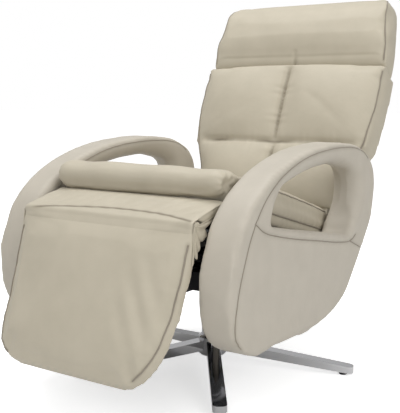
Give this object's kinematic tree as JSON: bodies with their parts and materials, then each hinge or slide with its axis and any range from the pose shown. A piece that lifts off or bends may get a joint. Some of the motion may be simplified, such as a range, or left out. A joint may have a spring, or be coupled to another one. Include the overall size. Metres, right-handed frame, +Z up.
{
  "type": "swivel recliner",
  "caption": "Leather swivel recliner on a chrome star base, with loop arms, a padded reclining back, a tilting headrest and a lifting legrest.",
  "frame": {"origin": "on the floor under the swivel axis", "axes": "+Z up, -Y is the way the sitter faces, +X is the sitter's left"},
  "size_m": [0.7748, 1.2355, 1.0695],
  "materials": {
    "chrome": "polished",
    "black_plastic": "matte",
    "black_steel": "satin",
    "bright_steel": "satin",
    "plywood": "matte",
    "arm_core": "matte",
    "dust_cloth": "matte",
    "webbing": "matte",
    "cushion_leather": "satin",
    "arm_leather": "satin"
  },
  "bodies": {
    "base": {"base_hub": "chrome", "base_leg_1": "chrome", "base_leg_2": "chrome", "base_leg_3": "chrome", "base_leg_4": "chrome", "base_leg_5": "chrome", "leg_glides": "black_plastic", "column_tube": "chrome", "column_bush": "black_plastic", "thrust_ring": "black_plastic"},
    "swivel_frame": {"swivel_spindle": "bright_steel", "swivel_plate": "black_steel", "chassis_rail_left": "black_steel", "chassis_rail_right": "black_steel", "front_beam": "black_steel", "rear_cross_tube": "black_steel", "arm_mount_plates": "black_steel", "battery_pack": "black_plastic", "control_box": "black_plastic", "seat_rail_left": "black_steel", "seat_rail_right": "black_steel", "seat_posts": "black_steel", "seat_rear_tube": "black_steel", "seat_webbing": "webbing", "seat_cushion": "cushion_leather", "legrest_flap": "cushion_leather", "legrest_supports": "black_steel", "drive_brackets": "black_steel", "legrest_motor": "black_plastic", "back_motor": "black_plastic", "recline_brackets": "black_steel", "arm_frame_left": "arm_core", "arm_frame_right": "arm_core", "arm_band_left": "arm_leather", "arm_band_right": "arm_leather", "arm_liner_left": "arm_leather", "arm_liner_right": "arm_leather", "arm_inner_panel_left": "arm_leather", "arm_inner_panel_right": "arm_leather", "arm_outer_panel_left": "arm_leather", "arm_outer_panel_right": "arm_leather"},
    "legrest": {"legrest_pad": "cushion_leather", "legrest_board": "dust_cloth", "legrest_leaf_left": "black_steel", "legrest_leaf_right": "black_steel", "legrest_pivot_pins": "bright_steel"},
    "legrest_crank": {"torque_tube": "black_steel"},
    "legrest_links": {"legrest_link_left": "black_steel", "legrest_link_right": "black_steel"},
    "back": {"recline_shaft": "bright_steel", "back_board": "plywood", "back_cushion": "cushion_leather", "back_cover": "cushion_leather", "back_hinge_plate_left": "black_steel", "back_hinge_plate_right": "black_steel", "headrest_ears": "black_steel"},
    "headrest": {"headrest_pad": "cushion_leather", "headrest_board": "plywood", "headrest_arms": "black_steel", "headrest_pins": "bright_steel"}
  },
  "joints": [
    {"name": "swivel", "type": "hinge", "parent": "base", "child": "swivel_frame", "pos_m": [0, 0, 0.26], "axis": [0, 0, 1], "continuous": true},
    {"name": "back_recline", "type": "hinge", "parent": "swivel_frame", "child": "back", "pos_m": [0, 0.3, 0.37], "axis": [-1, 0, 0], "range_deg": [-10, 30]},
    {"name": "headrest_tilt", "type": "hinge", "parent": "back", "child": "headrest", "pos_m": [0, 0.55173, 0.87639], "axis": [1, 0, 0], "range_deg": [-5, 30]},
    {"name": "legrest_lift", "type": "hinge", "parent": "swivel_frame", "child": "legrest", "pos_m": [0, -0.452, 0.466], "axis": [-1, 0, 0], "range_deg": [-22, 62]},
    {"name": "crank_turn", "type": "hinge", "parent": "swivel_frame", "child": "legrest_crank", "pos_m": [0, -0.17, 0.4], "axis": [-1, 0, 0], "range_deg": [-22, 62]},
    {"name": "link_turn", "type": "hinge", "parent": "legrest_crank", "child": "legrest_links", "pos_m": [0, -0.14, 0.34], "axis": [-1, 0, 0], "range_deg": [-62, 22]}
  ],
  "couplings": [
    {"joint": "crank_turn", "follows": "legrest_lift", "ratio": 1},
    {"joint": "link_turn", "follows": "legrest_lift", "ratio": -1}
  ]
}
